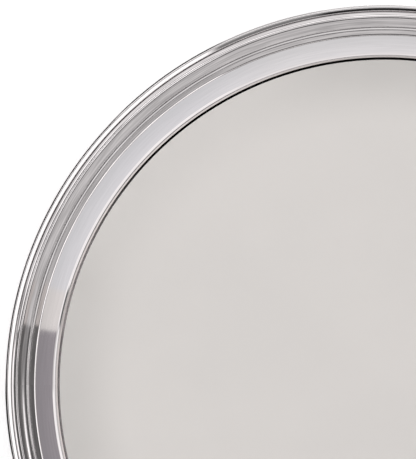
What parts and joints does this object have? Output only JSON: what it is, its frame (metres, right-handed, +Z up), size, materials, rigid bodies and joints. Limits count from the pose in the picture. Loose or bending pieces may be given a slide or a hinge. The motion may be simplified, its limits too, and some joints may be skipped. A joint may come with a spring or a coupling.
{
  "type": "buffet plate",
  "caption": "Round shallow buffet plate of polished stainless steel with a flat satin well, a low step, a smooth band and a reeded border with a rolled edge.",
  "frame": {"origin": "on the plate's axis, at the surface that it stands on", "axes": "+Z up along the plate's axis of symmetry; X and Y are free, because the plate is round"},
  "size_m": [0.33, 0.33, 0.0092],
  "materials": {
    "dish_steel": "polished",
    "moulding_steel": "polished",
    "wire_steel": "satin"
  },
  "bodies": {
    "root": {"dish": "dish_steel", "border_moulding": "moulding_steel", "edge_wire": "wire_steel"}
  },
  "joints": []
}
